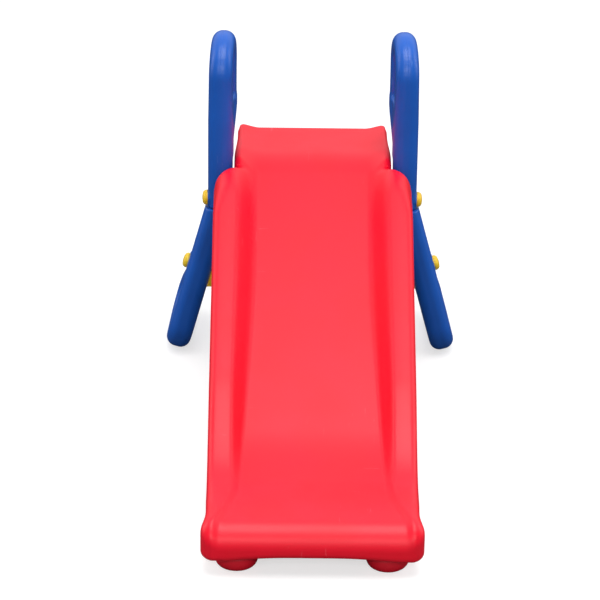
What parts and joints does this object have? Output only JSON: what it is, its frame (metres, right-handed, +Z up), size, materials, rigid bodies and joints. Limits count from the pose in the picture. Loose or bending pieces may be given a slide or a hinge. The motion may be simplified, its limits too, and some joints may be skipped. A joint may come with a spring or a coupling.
{
  "type": "toddler slide",
  "caption": "Folding toddler slide: a moulded chute with side rails and a platform, hinged between two looped handles on splayed legs that a step joins.",
  "frame": {"origin": "on the floor under the middle of the whole slide", "axes": "+Z up, -Y the way the child slides, +X across, to the sliding child's left"},
  "size_m": [0.5738, 1.0702, 0.665],
  "materials": {
    "red_plastic": "satin",
    "dark_red_plastic": "matte",
    "blue_plastic": "satin",
    "yellow_plastic": "satin",
    "zinc_steel": "satin",
    "white_nylon": "matte"
  },
  "bodies": {
    "slide": {"slide_chute": "red_plastic", "front_foot_left": "dark_red_plastic", "front_foot_right": "dark_red_plastic", "foot_screws": "zinc_steel", "pivot_bush_left": "white_nylon", "pivot_bush_right": "white_nylon"},
    "ladder": {"handle_left": "blue_plastic", "handle_right": "blue_plastic", "leg_left": "blue_plastic", "leg_right": "blue_plastic", "handle_screws": "zinc_steel", "step_tread": "yellow_plastic", "step_bolts": "zinc_steel", "step_nuts": "zinc_steel", "step_cap_left": "yellow_plastic", "step_cap_right": "yellow_plastic", "pivot_cap_left": "yellow_plastic", "pivot_cap_right": "yellow_plastic", "pivot_rod": "zinc_steel", "pivot_retainers": "zinc_steel", "pivot_spacers": "white_nylon"}
  },
  "joints": [
    {"name": "ladder_fold", "type": "hinge", "parent": "slide", "child": "ladder", "pos_m": [0, 0.35, 0.338], "axis": [-1, 0, 0], "range_deg": [0, 62]}
  ]
}
